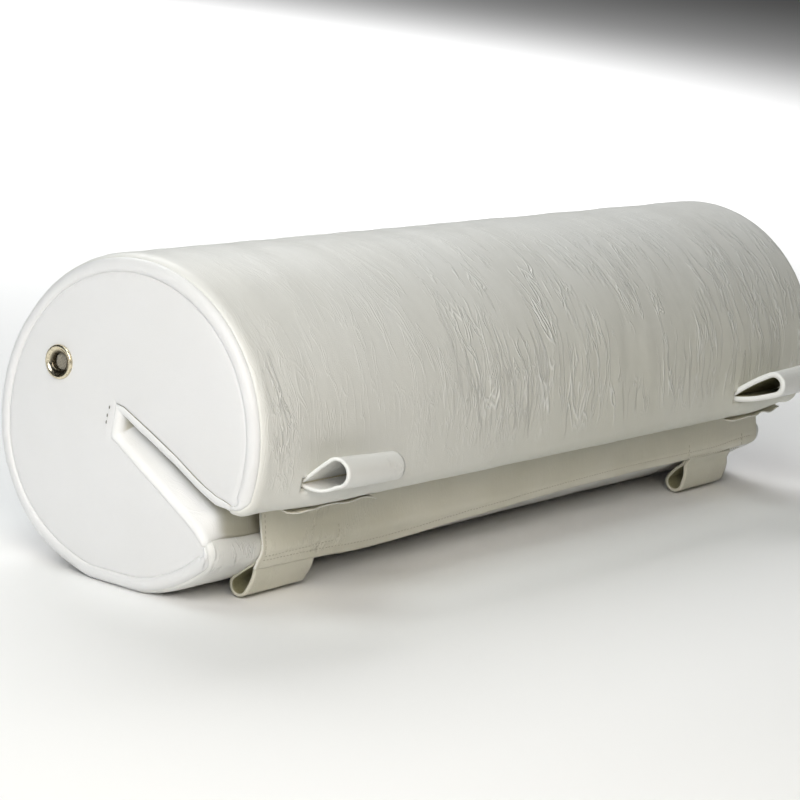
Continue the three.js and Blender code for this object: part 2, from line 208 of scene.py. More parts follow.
def outer_track():
    """From the lower lip under the roller, up its back, which swells a little, to the upper lip."""
    flat = math.acos((R - sink) / R)
    down = math.radians(270)
    front = np.linspace(lower_lip[1], down - flat, 60)[1:]
    rest = np.linspace(down + flat, upper_lip[1] + 2 * math.pi, 400)[:-1]
    swell = 5 * MM * hump(rest, math.radians(328), math.radians(34))
    runs = [
        lip_turn(lower_lip, np.linspace(1, 0, 40)),
        (polar(front, R), polar(front), front * 0),
        (polar(rest, R + swell[:, None]), polar(rest), rest * 0),
        lip_turn(upper_lip, np.linspace(0, 1, 40)),
    ]
    points, outward, slot_share = (np.concatenate(parts) for parts in zip(*runs))
    edges = edge_radius + (slot_edge_radius - edge_radius) * slot_share
    return make_track(points, -outward, outward, edges)


def slot_track():
    ends = [centre + polar(wall_angle, lip_radius) for centre, _, wall_angle in (upper_lip, lower_lip)]
    points = np.array([ends[0], slot_corner(1), slot_corner(-1), ends[1]])
    mitres = [slot_corner(side, MM) / MM - slot_corner(side) / MM for side in (1, -1)]
    inward = np.array([slot_wall(1)[1], *mitres, slot_wall(-1)[1]])
    outward = -inward / np.linalg.norm(inward, axis=1)[:, None]
    return make_track(points, inward, outward, np.full(4, slot_edge_radius))


outer = outer_track()
slot = slot_track()
outer_end = outer["run"][-1]
print("round the barrel", round(outer_end, 3), "m, round the slot", round(slot["run"][-1], 3), "m")

# %% [markdown]
# ## Cloth panels
# A cover panel is a flat sheet that is wrapped round the section. Here a grid primitive is the flat
# sheet. Its rows lie along the roller's length and its columns round the section, closer together at
# the seams, where the cloth rolls under. The grid keeps its flat size as its UV map, in metres, so the
# grain and the creases follow the cloth. A Solidify modifier then gives the cloth its thickness.

# %% Helpers for pieces
cover_thickness = 1.0 * MM
patch_thickness = 0.9 * MM
floor_gap = 0.15 * MM


def select_only(piece):
    bpy.ops.object.select_all(action="DESELECT")
    piece.select_set(True)
    bpy.context.view_layer.objects.active = piece


@contextmanager
def editing(piece):
    """Edit mode on one piece, with all of it selected."""
    select_only(piece)
    bpy.ops.object.mode_set(mode="EDIT")
    bpy.ops.mesh.select_all(action="SELECT")
    yield
    bpy.ops.object.mode_set(mode="OBJECT")


def apply_modifier(piece, kind, **values):
    select_only(piece)
    modifier = piece.modifiers.new(kind.title(), kind)
    for name, value in values.items():
        setattr(modifier, name, value)
    bpy.ops.object.modifier_apply(modifier=modifier.name)


def new_piece(name=None):
    """The primitive that was just added, under its own name."""
    piece = bpy.context.object
    if name:
        piece.name = piece.data.name = name
    return piece


def places(piece):
    co = np.zeros(len(piece.data.vertices) * 3)
    piece.data.vertices.foreach_get("co", co)
    return co.reshape(-1, 3)


def set_places(piece, co):
    piece.data.vertices.foreach_set("co", np.ascontiguousarray(co, dtype=np.float32).ravel())
    piece.data.update()


def shade_smooth(piece):
    select_only(piece)
    bpy.ops.object.shade_smooth()


def mark(piece, name, amount):
    """Notes an amount on each point, for the finishes to read."""
    amount = np.broadcast_to(amount, len(piece.data.vertices))
    layer = piece.data.attributes.new(name, "FLOAT", "POINT")
    layer.data.foreach_set("value", np.ascontiguousarray(amount, dtype=np.float32))


def give(piece, *finishes):
    piece.data.materials.clear()
    for finish in finishes:
        piece.data.materials.append(finish)


# %% Helpers for panels
def flat_sheet(name, columns, rows):
    """A flat grid, with the column and the row of each of its points."""
    bpy.ops.mesh.primitive_grid_add(x_subdivisions=columns - 1, y_subdivisions=rows - 1, size=1)
    piece = new_piece(name)
    co = places(piece) + 0.5
    column = np.rint(co[:, 0] * (columns - 1)).astype(int)
    row = np.rint(co[:, 1] * (rows - 1)).astype(int)
    return piece, column, row


def stations(length, step, roll):
    ends = np.array([0, 0.12, 0.4, 0.75, 1]) * roll
    middle = np.linspace(roll, length - roll, max(int((length - 2 * roll) / step), 2))[1:-1]
    return np.concatenate([ends, middle, length - ends[::-1]])


def rolled_under(distance, radius):
    """How far a seam's edge rolls under, by the distance from the seam."""
    short = np.clip(radius - distance, 0, radius)
    return radius - np.sqrt(np.maximum(radius**2 - short**2, 0))


def lay(piece, co, u, v, *finishes, **marks):
    """Puts a sheet's points in place and gives it its cloth map, its marks and its finishes."""
    set_places(piece, co)
    layer = piece.data.uv_layers.active or piece.data.uv_layers.new(name="cloth")
    layer.name = "cloth"
    index = np.zeros(len(piece.data.loops), dtype=np.int32)
    piece.data.loops.foreach_get("vertex_index", index)
    layer.data.foreach_set("uv", np.stack([u[index], v[index]], -1).astype(np.float32).ravel())
    for name, amount in marks.items():
        mark(piece, name, amount)
    give(piece, *finishes)


def turn_over(piece):
    with editing(piece):
        bpy.ops.mesh.flip_normals()


def finish_panel(piece, thickness, facing=None, rim=0, back=0, offset=-1):
    """Turns a sheet to face where facing says, thickens it and presses it flat where it meets the floor."""
    middle = piece.data.polygons[len(piece.data.polygons) // 2]
    if facing and middle.normal.dot(Vector(facing(middle.center))) < 0:
        turn_over(piece)
    apply_modifier(piece, "SOLIDIFY", thickness=thickness, offset=offset, material_offset=back,
                   material_offset_rim=rim)
    co = places(piece)
    co[:, 2] = np.maximum(co[:, 2], floor_gap)
    set_places(piece, co)
    shade_smooth(piece)
    print(piece.name, len(piece.data.polygons), "faces")


def out_of_axis(place):
    return 0, place[1], place[2] - axis_z


def to_front(place):
    return 0, -1, 0


def on_roller(piece, *replaced, fill=1.0, material="vinyl_white"):
    """A padded piece of the roller itself."""
    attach(piece, "roller")
    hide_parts(*replaced)


# %% [markdown]
# ## Vinyl
# The cover is PVC-coated cloth with a fine pebble grain. Where it was folded and pulled over the foam
# it keeps soft broken wrinkles. They are pairs of thin raised folds, bent a little, in patches, and
# the folds are painted a little lighter as a painted highlight. A flat colour would look like paint,
# so the tint is patchy too. Each panel carries marks on its points: "creased" where long folds run
# round the roller, "crinkled" where short fine ones lie, a mark where a darker, yellower tint is
# painted warm shade, low on the barrel's front, towards its right end and deep in the slot, and a
# mark inside the loops' slits, which are painted nearly black as painted shade. The patterns read
# the cloth map, which is in metres, so they have their true size.

# %% Node helpers
def new_finish(name):
    finish = bpy.data.materials.new(name)
    finish.use_nodes = True
    return finish, finish.node_tree, finish.node_tree.nodes["Principled BSDF"].inputs


def feed(socket, value):
    if isinstance(value, bpy.types.NodeSocket):
        socket.id_data.links.new(value, socket)
    else:
        socket.default_value = value


def node(tree, kind, output, inputs=None, **values):
    made = tree.nodes.new("ShaderNode" + kind)
    for name, value in values.items():
        setattr(made, name, value)
    for name, value in (inputs or {}).items():
        feed(made.inputs[name], value)
    return made.outputs[output]


def attribute(tree, name):
    return node(tree, "Attribute", "Fac", attribute_name=name)


def maths(operation, a, b=0.0):
    return node(a.id_data, "Math", 0, {0: a, 1: b}, operation=operation)


def ranged(value, low, high, out_low=0.0, out_high=1.0):
    inputs = {"Value": value, "From Min": low, "From Max": high, "To Min": out_low, "To Max": out_high}
    return node(value.id_data, "MapRange", 0, inputs, interpolation_type="SMOOTHSTEP")


def noise_at(place, across, along, detail=2.0, output="Fac"):
    """Noise with cells of this size, in millimetres."""
    scale = (1 / (across * MM), 1 / (along * MM), 1 / (across * MM))
    stretched = node(place.id_data, "Mapping", 0, {"Vector": place, "Scale": scale})
    return node(place.id_data, "TexNoise", output, {"Vector": stretched, "Scale": 1.0, "Detail": detail})


def mixed(share, *colours):
    low, high = ((*colour, 1) if isinstance(colour, tuple) else colour for colour in colours)
    return node(share.id_data, "Mix", 2, {0: share, 6: low, 7: high}, data_type="RGBA")


def dress(shader, tint, rough, height, strength, distance):
    """Feeds the shader its colour and roughness, and a bump with its height in millimetres."""
    bump = {"Height": height, "Strength": strength, "Distance": distance * MM}
    feed(shader["Base Color"], tint)
    feed(shader["Roughness"], rough)
    feed(shader["Normal"], node(height.id_data, "Bump", 0, bump))


# %% The vinyl finish
def fold_lines(cloth, across, along, width, slant, patchy, seed):
    """Thin raised folds. They lie in pairs, beside the line where a stretched noise is just half."""
    place = {"Vector": cloth, "Rotation": (0, 0, slant), "Location": (seed, seed, 0)}
    turned = node(cloth.id_data, "Mapping", 0, place)
    off = maths("ABSOLUTE", maths("SUBTRACT", noise_at(turned, across, along, 1.5), 0.5))
    ridge = ranged(maths("ABSOLUTE", maths("SUBTRACT", off, 1.2 * width)), width, 0.0)
    patches = noise_at(turned, 6 * across, 0.8 * along)
    return maths("MULTIPLY", ridge, ranged(patches, patchy, patchy + 0.12))


def wrinkle_height(tree, cloth):
    wander = noise_at(cloth, 26, 50, output="Color")
    wander = node(tree, "VectorMath", 0, {0: wander, "Scale": 12 * MM}, operation="SCALE")
    bent = node(tree, "VectorMath", 0, {0: cloth, 1: wander}, operation="ADD")
    folds = fold_lines(bent, 15, 130, width=0.016, slant=0.15, patchy=0.42, seed=0.3)
    finer = fold_lines(bent, 8, 75, width=0.022, slant=-0.04, patchy=0.40, seed=1.7)
    crinkle = fold_lines(bent, 4.5, 24, width=0.035, slant=0.12, patchy=0.44, seed=2.9)
    folds = maths("MAXIMUM", folds, maths("MULTIPLY", finer, 0.7))
    folds = maths("MULTIPLY", folds, attribute(tree, "creased"))
    return maths("MAXIMUM", folds, maths("MULTIPLY", crinkle, attribute(tree, "crinkled")))


def vinyl(name, colour, shade, rough, depth, aged=(0.70, 0.69, 0.605)):
    finish, tree, shader = new_finish(name)
    cloth = node(tree, "UVMap", 0, uv_map="cloth")
    folds = wrinkle_height(tree, cloth)
    height = maths("MULTIPLY", folds, 0.85 * depth)
    height = maths("ADD", height, maths("MULTIPLY", noise_at(cloth, 0.75, 0.9, 1.0), 0.10))
    height = maths("ADD", height, maths("MULTIPLY", noise_at(cloth, 22, 30), 0.6))
    patchy = noise_at(cloth, 90, 90, 3.0)
    tint = mixed(ranged(patchy, 0.3, 0.7), shade, colour)
    # Painted warm shade: where the mark asks, the tint turns darker and yellower.
    warm_shade_amount = maths("MULTIPLY", attribute(tree, "aged"), ranged(patchy, 0.2, 0.6, 0.8, 1.0))
    tint = mixed(warm_shade_amount, tint, aged)
    # Painted highlight: the raised folds are painted up to 15% lighter.
    fold_highlight = tuple(min(c * 1.15, 0.92) for c in colour)
    tint = mixed(maths("MULTIPLY", folds, 0.6), tint, fold_highlight)
    # Painted shade: inside the loops' slits the vinyl is painted nearly black.
    tint = mixed(ranged(attribute(tree, "slit"), 0.35, 0.8), tint, (0.10, 0.09, 0.07))
    gloss = ranged(noise_at(cloth, 8, 8, 3.0), 0.2, 0.8, rough - 0.06, rough + 0.08)
    dress(shader, tint, gloss, height, 1.0, 0.8)
    return finish


white_vinyl = vinyl("white_vinyl", (0.80, 0.80, 0.775), (0.775, 0.772, 0.74), 0.42, 1.0)
panel_vinyl = vinyl("panel_vinyl", (0.80, 0.80, 0.80), (0.785, 0.785, 0.78), 0.40, 0.6)
# Painted light: the lining is a brighter copy of the white vinyl, so the slot's shaded walls look lit.
lining_vinyl_painted_light = vinyl("lining_vinyl_painted_light", (0.88, 0.88, 0.875), (0.86, 0.86, 0.85), 0.42, 0.8,
                     aged=(0.54, 0.515, 0.41))
# Painted shade: the flap and the patches on its back get a darker, olive copy of the white vinyl.
flap_vinyl_painted_shade = vinyl("flap_vinyl_painted_shade", (0.76, 0.735, 0.63), (0.69, 0.665, 0.55), 0.48, 0.9)
# Painted shade: the lower loops hang in the roller's shade and get a darker, olive copy of the white vinyl.
loop_vinyl_painted_shade = vinyl("loop_vinyl_painted_shade", (0.72, 0.70, 0.60), (0.66, 0.64, 0.53), 0.48, 0.8)
# Painted shade: the patches under the upper lip get a darker, olive copy of the white vinyl.
patch_vinyl_painted_shade = vinyl("patch_vinyl_painted_shade", (0.72, 0.69, 0.58), (0.64, 0.61, 0.49), 0.5, 0.8)

# %% [markdown]
# ## Cut edges, thread, foam and metal
# Where the vinyl is cut, its knitted backing shows as a narrow fluffy edge: yellowish on the flap and
# the patches, nearly white on the upper loops, and greyer on the lower ones, where the grey is painted
# shade. Inside three of the loops the knitted backing is painted dark, as painted shade. The seams are
# sewn with a thick matt thread. The vent eyelets are plated brass, bright on the rolled flange and
# stained dark down the throat, with a woven wire screen inside.

# %% The other finishes
def fluff(place):
    height = noise_at(place, 0.5, 0.5, 3.0)
    return height, ranged(height, 0.35, 0.65), (0.85, 0.7, 0.3)


def twist(place):
    inputs = {"Vector": place, "Scale": 900.0, "Distortion": 1.0}
    height = node(place.id_data, "TexWave", "Fac", inputs, bands_direction="DIAGONAL")
    return height, height, (0.7, 0.5, 0.1)


def cells(place):
    height = node(place.id_data, "TexVoronoi", "Distance", {"Vector": place, "Scale": 900.0})
    return height, height, (0.95, 0.8, 0.4)


def matt_finish(name, pattern, low, high):
    """A matt finish. Its pattern gives the bump, how the two tints mix, and the strengths of both."""
    finish, tree, shader = new_finish(name)
    height, share, (rough, strength, distance) = pattern(node(tree, "TexCoord", "Object"))
    dress(shader, mixed(share, low, high), rough, height, strength, distance)
    return finish


def metal_finish(name, bright, stained, rough):
    finish, tree, shader = new_finish(name)
    place = node(tree, "TexCoord", "Object")
    stain = noise_at(place, 1.6, 1.6, 4.0)
    share = maths("MAXIMUM", attribute(tree, "stained"), ranged(stain, 0.5, 0.75, 0.0, 0.5))
    gloss = ranged(stain, 0.3, 0.7, rough, rough + 0.18)
    dress(shader, mixed(share, bright, stained), gloss, noise_at(place, 0.25, 6), 0.15, 0.05)
    feed(shader["Metallic"], 1.0)
    return finish


cut_edge = matt_finish("cut_edge", fluff, (0.74, 0.72, 0.64), (0.86, 0.85, 0.80))
white_edge = matt_finish("white_edge", fluff, (0.84, 0.84, 0.81), (0.90, 0.90, 0.88))
# Painted shade: the lower loops' cut edges are a greyer copy of the white edge.
loop_edge_painted_shade = matt_finish("loop_edge_painted_shade", fluff, (0.60, 0.58, 0.48), (0.72, 0.70, 0.60))
# Painted shade: the knitted backing inside the loops is painted dark, standing for the shade in them.
backing_and_painted_shade = matt_finish("backing_and_painted_shade", fluff, (0.26, 0.25, 0.15), (0.36, 0.345, 0.22))
sewing_thread = matt_finish("sewing_thread", twist, (0.40, 0.37, 0.28), (0.74, 0.71, 0.60))
dark_thread = matt_finish("dark_thread", twist, (0.10, 0.10, 0.09), (0.24, 0.23, 0.20))
foam = matt_finish("foam", cells, (0.62, 0.57, 0.42), (0.80, 0.76, 0.62))
plated_brass = metal_finish("plated_brass", (0.78, 0.70, 0.52), (0.10, 0.085, 0.06), 0.16)
screen_wire = metal_finish("screen_wire", (0.80, 0.76, 0.66), (0.45, 0.42, 0.35), 0.45)
# Painted shade: the disc behind each screen is dark, standing for the shadowed pocket behind it.
screen_disc_painted_shade = metal_finish("screen_disc_painted_shade", (0.26, 0.24, 0.20), (0.14, 0.13, 0.10), 0.6)

# %% [markdown]
# ## How the soft section gives
# The cover doesn't follow the section strictly. Its padded ends close the slot a little, the upper lip
# sags between them, the cover is drawn in under the flap, and the lower jaw's right end leans inwards.
# All panels and the foam take the same give, so they stay together.

# %% The give of the section
wall_closing = 4.7 * MM
lip_closing = 2.2 * MM
lip_sag = 4.2 * MM
drawn_in = 4.5 * MM
right_lean = 15 * MM


def end_closing(t):
    """The padded edges at the roller's ends close the slot a little: 1 at the end, 0 further in."""
    depth = np.where(t < 0, 40, 24)
    return falls(half - np.abs(t), depth, depth - 6)


def slot_closing(t, v):
    """How far the slot's walls stand in from their line, with a belly behind the upper lip."""
    run = slot["run"]
    share = v / run[1]
    belly = 2 * MM * hump(share, 0.24, 0.2) * smooth_step(share / 0.12)
    off_lip = rises(np.minimum(v, run[-1] - v), 0, 14)
    lower = smooth_step((v - run[1]) / (run[2] - run[1])) * off_lip
    at_end = end_closing(t)
    closed = at_end + (falls(half - np.abs(t), 120, 50) - at_end) * lower
    return closed * (belly + lip_closing + (wall_closing - lip_closing) * off_lip)


def under_hollow(t, v):
    """Under the flap the cover is drawn in a little, more so towards the right end."""
    points = at(outer, v, "points")
    angle = np.arctan2(points[:, 1], points[:, 0]) % (2 * math.pi)
    return drawn_in * hump(angle, math.radians(238), math.radians(15)) * rises(t + half, 170, 430)


def lip_shift(t, v):
    """How far the lips stand in. Between its ends the upper lip sags a little instead."""
    lower_turn, upper_turn = (lip_radius * abs(wall - barrel) for _, barrel, wall in (lower_lip, upper_lip))
    lower = smooth_step(1 - v / lower_turn)
    upper = smooth_step(1 - (outer_end - v) / upper_turn)
    wide = smooth_step(1 - (outer_end - v) / (upper_turn + 30 * MM))
    sag = lip_sag * rises(half - np.abs(t), 8, 70) * wide
    return end_closing(t) * lip_closing * np.maximum(lower, upper) + sag - under_hollow(t, v)


def leaning(x, flat):
    """The lower jaw's right end leans in a little, towards the roller's middle."""
    from_lip = np.hypot(flat[:, 0] - lower_lip[0][0], flat[:, 1] - lower_lip[0][1])
    return in_space(x - right_lean * hump(from_lip, 0, 52 * MM) * rises(x - half, -80, 80), flat)


def skin(track, t, v, lift, shift):
    """Wraps cloth over the section. Its t runs along the roller and over the end edge, its v round it."""
    edge = at(track, v, "edges")
    over = np.abs(t) - (half - edge)
    turn = np.clip(over / edge, 0, math.pi / 2)
    inset = edge * (1 - np.cos(turn)) + np.maximum(over - edge * math.pi / 2, 0)
    x = np.minimum(np.abs(t), half - edge) + edge * np.sin(turn)
    out = at(track, v, "outward") * (lift * np.cos(turn))[:, None]
    flat = off_track(track, v, "inward", inset - shift) + out
    return leaning((x + lift * np.sin(turn)) * np.sign(t), flat)


def smooth_noise(points, size, seed):
    shift = Vector((seed * 7.3, seed * 3.1, seed * 5.7))
    return np.array([noise.noise(Vector(p) / size + shift) for p in points])


def wrinkles(t, v, seed, along, around, depth):
    """Soft waves. Their length along and around the roller and their depth are in millimetres."""
    stretched = np.stack([t / (along * MM), v / (around * MM), t * 0], -1)
    return smooth_noise(stretched, 1.0, seed) * depth * MM


# %% [markdown]
# ## The barrel cover
# The barrel cover is one sheet that runs from the slot's lower lip under the roller, up its back, over
# the top and round the upper lip. Soft shallow waves are in the mesh, and the folds and crinkles come
# from the finish. Slits near its front edge let the upper loops out. A slit is a steep-sided dent
# here, painted nearly black inside as painted shade.

# %% Seams, slits and marks
loops = [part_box(f"upper_loop_{side_name}") for side_name in SIDES]
left_loop_short = 9 * MM
slit_rise = 8.1 * MM
slit_height = 9 * MM
slit_v = outer_end - lip_radius * (upper_lip[2] - upper_lip[1]) - slit_rise
seam_gap = 0.3 * MM
seam_roll = 1.4 * MM
slot_seam_gap = 0.1 * MM
slot_seam_roll = 0.4 * MM
print("slit at", round(slit_v, 4), "of", round(outer_end, 4))


def rim_start(v):
    """The seam between the barrel cover and the rim band."""
    edge = at(outer, v, "edges")
    share = (edge_radius - edge) / (edge_radius - slot_edge_radius)
    return half - edge + edge * np.radians(38 + 42 * share)


def slit_dent(t, v):
    dent = np.zeros_like(t)
    for low, high in loops:
        shorter = left_loop_short if low.x < 0 else 0
        across = np.minimum(t - (low.x - 3.2 * MM), (high.x + 1.6 * MM - shorter) - t)
        up = slit_height / 2 - np.abs(v - slit_v)
        dent = np.maximum(dent, rises(np.minimum(across, up), -0.65, 1.3))
    return dent


def creased_share(t, v, above):
    """Long folds cross the front from the middle to the right, and stop short of the upper lip."""
    front = falls(above, 208, 100) * rises(above, 2, 24)
    along = 0.22 + 0.78 * rises(t, -200, 120)
    return np.maximum(front * along, 0.10 + 0.12 * hump(v, 0.34, 0.10))


def crinkled_share(t, v, above):
    """Fine crinkles lie low on the front, beside the left rim and on the ends of the lower lip."""
    low = 0.8 * hump(t, -0.10, 0.075) * hump(above, 46 * MM, 36 * MM)
    by_rim = 0.8 * hump(t, -half + 24 * MM, 13 * MM) * hump(above, 60 * MM, 55 * MM)
    lower_lip_round = 0.9 * hump(v, 12 * MM, 16 * MM) * rises(np.abs(t), 300, 20)
    return np.max([low, by_rim, lower_lip_round], axis=0)


def aged_share(t, above):
    """Painted warm shade: a darker, yellower tint low on the front, more so towards the right."""
    return falls(above, 165, 150) * rises(above, -18, 3) * (0.30 + 0.70 * rises(t, -300, 420))


# %% Barrel cover
def barrel_rows():
    """Rows round the barrel, closer together at the seams, round the lips and across the slits."""
    return np.concatenate([
        [0, 0.0008, 0.0016],
        np.arange(0.003, 0.026, 0.0023),
        np.arange(0.031, slit_v - 0.014, 0.0072),
        np.arange(slit_v - 0.009, slit_v + 0.0091, 0.0009),
        np.arange(slit_v + 0.011, outer_end - 0.003, 0.0022),
        [outer_end - 0.0016, outer_end - 0.0008, outer_end],
    ])


def barrel_cover():
    rows = barrel_rows()
    columns = 400
    piece, column, row = flat_sheet("barrel_skin", columns, len(rows))
    v = rows[row]
    stop = rim_start(v) - seam_gap / 2
    share = stations(2.0, 2.0 / 385, 0.008)
    share = np.interp(np.linspace(0, 1, columns), np.linspace(0, 1, len(share)), share) - 1
    t = share[column] * stop
    above = outer_end - v - 17 * MM
    creased = creased_share(t, v, above)
    # A share for each point in a slit: it dents the cover, and the same share paints shade inside the slit.
    slit = slit_dent(t, v)
    from_seam = stop - np.abs(t)
    lift = 0.15 * MM + wrinkles(t, v, 1, 30, 110, 0.5)
    lift += wrinkles(t + 0.12 * v, v, 2, 14, 65, 0.30) * creased
    lift += wrinkles(t - 0.10 * v, v, 3, 7, 35, 0.12) * creased
    lift += wrinkles(t, v, 4, 20, 7.5, 0.45) * hump(from_seam, 4 * MM, 6 * MM)
    from_edge = np.minimum(from_seam, np.minimum(v, outer_end - v))
    lift *= 0.25 + 0.75 * np.clip(from_edge / (12 * MM), 0, 1)
    lift -= rolled_under(from_seam, 0.8 * MM) + slit * 4 * MM
    lay(piece, skin(outer, t, v, lift, lip_shift(t, v)), t, v, white_vinyl, creased=creased,
        crinkled=crinkled_share(t, v, above), aged=aged_share(t, above), slit=slit)
    finish_panel(piece, cover_thickness, out_of_axis)
    return piece


on_roller(barrel_cover(), "barrel_cover")

# %% [markdown]
# ## Rim bands and slot lining
# At each end a narrow band turns the cover over the end edge. It lies between two seams, one on the
# barrel and one on the end face, and dies out at the slot's lips. The slot's lining turns over the end
# edge in the same way, with a tighter round. Deep in the slot it gets a darker, yellower tint, which is
# painted shade.

# %% Rim bands
def rim_band(side, name):
    rows = barrel_rows()
    share = np.array([0, 0.012, 0.035, 0.07, 0.12, 0.2, 0.3, 0.4, 0.5])
    share = np.concatenate([share, 1 - share[::-1][1:]])
    piece, column, row = flat_sheet(name, len(share), len(rows))
    v = rows[row]
    edge = at(outer, v, "edges")
    start = rim_start(v) + seam_gap / 2
    stop = half - edge + edge * math.pi / 2 - seam_gap / 2
    t = start + (stop - start) * share[column]
    near = np.minimum(t - start, stop - t)
    bulge = np.sin(np.pi * share[column]) * 1.1 * MM
    puckers = wrinkles(t, v, 5 + side, 20, 8.5, 0.35) + wrinkles(t, v, 8, 30, 30, 0.5)
    lift = bulge + puckers * np.clip(near / (2 * MM), 0, 1) - rolled_under(near, seam_roll)
    t = t * side
    lay(piece, skin(outer, t, v, lift, lip_shift(t, v)), t, v, panel_vinyl,
        crinkled=0.15 + 0.6 * hump(v, 0.012, 0.02))
    finish_panel(piece, cover_thickness, lambda place: (side * 0.3, *out_of_axis(place)[1:]))
    return piece


for side_name, side in SIDES.items():
    on_roller(rim_band(side, f"rim_roll_{side_name}"), f"rim_band_{side_name}")


# %% Slot lining
def wall_rise(t, v):
    """Behind each end's edge the lower wall swells up into the slot like a cushion."""
    run = slot["run"]
    deep = half - np.abs(t)
    mouthward = np.clip((v - run[2]) / (run[3] - run[2]), 0, 1)
    on_wall = np.clip((v - run[1]) / (run[2] - run[1]), 0, 1) * falls(v - run[3], 0, 16)
    return (5.5 + 3.5 * mouthward) * MM * rises(deep, 1.5, 14) * falls(deep, 85, 40) * on_wall


def upper_band(v):
    """The lining turns a little further over the end edge along the slot's upper wall."""
    return 1.6 * MM * rises(v, 0, 12) * falls(v - slot["run"][1], 0, 10)


def slot_lining():
    run = slot["run"]
    rows = [np.linspace(run[i], run[i + 1], n)[:-1] for i, n in ((0, 26), (1, 9), (2, 26))]
    rows = np.concatenate([*rows, run[-1:]])
    length = half - slot_edge_radius + slot_edge_radius * math.pi / 2 - slot_seam_gap / 2
    ends = stations(2 * length, 9 * MM, 1.2 * MM)
    turns = length - np.linspace(2.2, 36, 17) * MM
    columns = np.unique(np.concatenate([ends - length, turns, -turns]))
    piece, column, row = flat_sheet("slot_lining_skin", len(columns), len(rows))
    v = rows[row]
    t = columns[column] * (1 + upper_band(v) / length)
    length = length + upper_band(v)
    lift = wrinkles(t, v, 11, 50, 40, 0.5) + wrinkles(t, v, 12, 14, 12, 0.25)
    from_corner = np.minimum(np.abs(v - run[1]), np.abs(v - run[2]))
    turned = np.clip((np.abs(t) - (half - slot_edge_radius)) / (3 * MM), 0, 1)
    lift = lift * np.clip(from_corner / (20 * MM), 0, 1) + turned * 0.7 * MM
    lift -= rolled_under(length - np.abs(t), slot_seam_roll)
    co = skin(slot, t, v, lift, slot_closing(t, v))
    co[:, 1:] -= slot_wall(-1)[1] * wall_rise(t, v)[:, None]
    deep = half - np.abs(t)
    on_back = rises(v - run[1], -12, 10) * falls(v - run[2], 0, 3)
    # The lining's finish is painted light. Deep in the slot, and on its back wall from a few millimetres
    # in, a darker, yellower tint is painted shade.
    lay(piece, co, t, v, lining_vinyl_painted_light, crinkled=0.12,
        aged=np.maximum(rises(deep, 10, 14), on_back * rises(deep, 3, 6)))
    finish_panel(piece, cover_thickness, lambda place: (0, 0, 1 if place[2] < axis_z else -1))
    return piece


on_roller(slot_lining(), "slot_lining")

# %% [markdown]
# ## End panels
# Each end is a flat panel cut like the section, sewn to the rim band outside and to the lining along
# the slot. The foam behind it pushes it out a little. The panel is a sheet whose rows run from its
# outer seam to its slot seam. A short cloth simulation with its border held and a slight pressure
# behind it gives the panel its swell.

# %% End panels
swell_limit = 2.2 * MM
eyelet_bore = 6.9 * MM
foam_bore = 12.5 * MM


def end_panel(side, name):
    """The flat panel, and how far each of its points is from the nearer seam."""
    count = 170
    share = np.linspace(0, 1, count)
    v = share * outer_end
    x = np.full(count, side * half)
    rim = off_track(outer, v, "inward", at(outer, v, "edges") + seam_gap / 2 - lip_shift(x, v))
    v = np.interp(share, [0, 0.27, 0.54, 1], slot["run"][::-1])
    wall_inset = slot_edge_radius + slot_seam_gap / 2 - slot_closing(x, v) + upper_band(v)
    wall = off_track(slot, v, "inward", wall_inset)
    inner = [[0, 0.006, 0.02, 0.045], np.linspace(0.08, 0.92, 30), [0.955, 0.98, 0.994, 1]]
    inner = np.concatenate(inner)
    piece, column, row = flat_sheet(name, count, len(inner))
    a = inner[row]
    flat = rim[column] * (1 - a)[:, None] + wall[column] * a[:, None]
    near = np.minimum(a, 1 - a) * np.linalg.norm(rim - wall, axis=1)[column]
    roll = np.where(a > 0.5, slot_seam_roll, seam_roll)
    lift = 0.6 * MM * np.clip(near / (6 * MM), 0, 1) - rolled_under(near, roll)
    lay(piece, leaning(side * (half + lift), flat), *flat.T, panel_vinyl,
        crinkled=0.2 * hump(near, 0, 5 * MM))
    return piece, near


def swell(piece, side, near):
    before = places(piece)
    held = piece.vertex_groups.new(name="held")
    held.add([int(i) for i in np.nonzero(near < 3 * MM)[0]], 1.0, "REPLACE")
    select_only(piece)
    cloth = piece.modifiers.new("Cloth", "CLOTH")
    stiffness = dict(tension_stiffness=30, compression_stiffness=30, bending_stiffness=4)
    pressure = dict(use_pressure=True, uniform_pressure_force=2.5, vertex_group_mass="held")
    for setting, value in (stiffness | pressure).items():
        setattr(cloth.settings, setting, value)
    cloth.settings.effector_weights.gravity = 0
    cloth.collision_settings.use_collision = False
    for step in range(1, 15):
        scene.frame_set(step)
    bpy.ops.object.modifier_apply(modifier=cloth.name)
    scene.frame_set(1)
    piece.vertex_groups.clear()
    moved = places(piece) - before
    size = np.linalg.norm(moved, axis=1)
    moved *= np.minimum(1, swell_limit / np.maximum(size, 1e-9))[:, None]
    moved[:, 0] = side * np.abs(moved[:, 0])
    set_places(piece, before + moved)
    print(piece.name, "swelled by up to", round(float(size.max() / MM), 2), "mm")


def eyelet_centre(side_name):
    low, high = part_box(f"vent_eyelet_{side_name}")
    return (low + high) / 2


def vent_hole(piece, side_name, radius):
    bpy.ops.mesh.primitive_cylinder_add(vertices=48, radius=radius, depth=30 * MM,
                                        location=eyelet_centre(side_name), rotation=(0, math.pi / 2, 0))
    punch = new_piece()
    apply_modifier(piece, "BOOLEAN", object=punch, operation="DIFFERENCE", solver="EXACT")
    bpy.data.objects.remove(punch)


